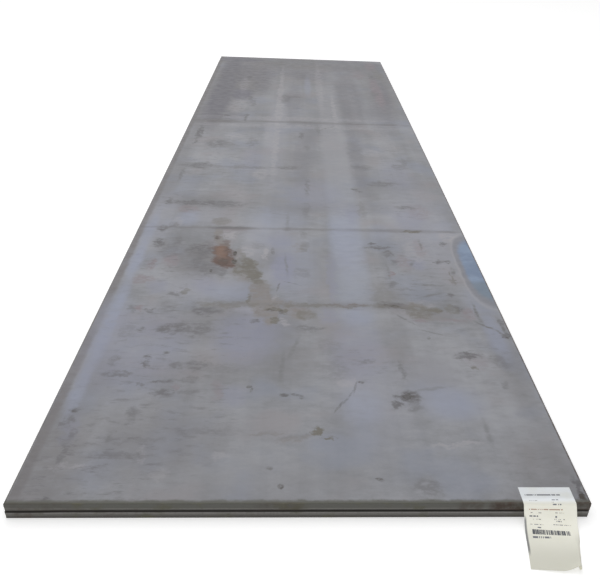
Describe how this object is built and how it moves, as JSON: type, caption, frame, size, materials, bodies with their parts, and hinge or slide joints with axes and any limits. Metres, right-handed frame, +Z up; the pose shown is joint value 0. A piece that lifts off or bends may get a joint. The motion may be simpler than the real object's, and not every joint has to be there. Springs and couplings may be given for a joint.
{
  "type": "stacked steel plate",
  "caption": "Flat rectangular hot-rolled steel plates lying flush in a stack, with a blank-form paper label folded over one end; stock for cutting, welding and fabrication.",
  "frame": {"origin": "centre of the lower plate's underside, midway between its ends and on the line that joins the middles of its ends", "axes": "+X across the plates, +Y along them away from the labelled end, +Z up out of the top face"},
  "size_m": [1.529, 6.2898, 0.0515],
  "materials": {
    "mill_scale_steel": "hot-rolled mill scale, blue-grey, with rust stains",
    "label_paper": "matt off-white paper"
  },
  "bodies": {
    "root": {"lower_plate": "mill_scale_steel", "upper_plate": "mill_scale_steel", "stock_label": "label_paper"}
  },
  "joints": []
}
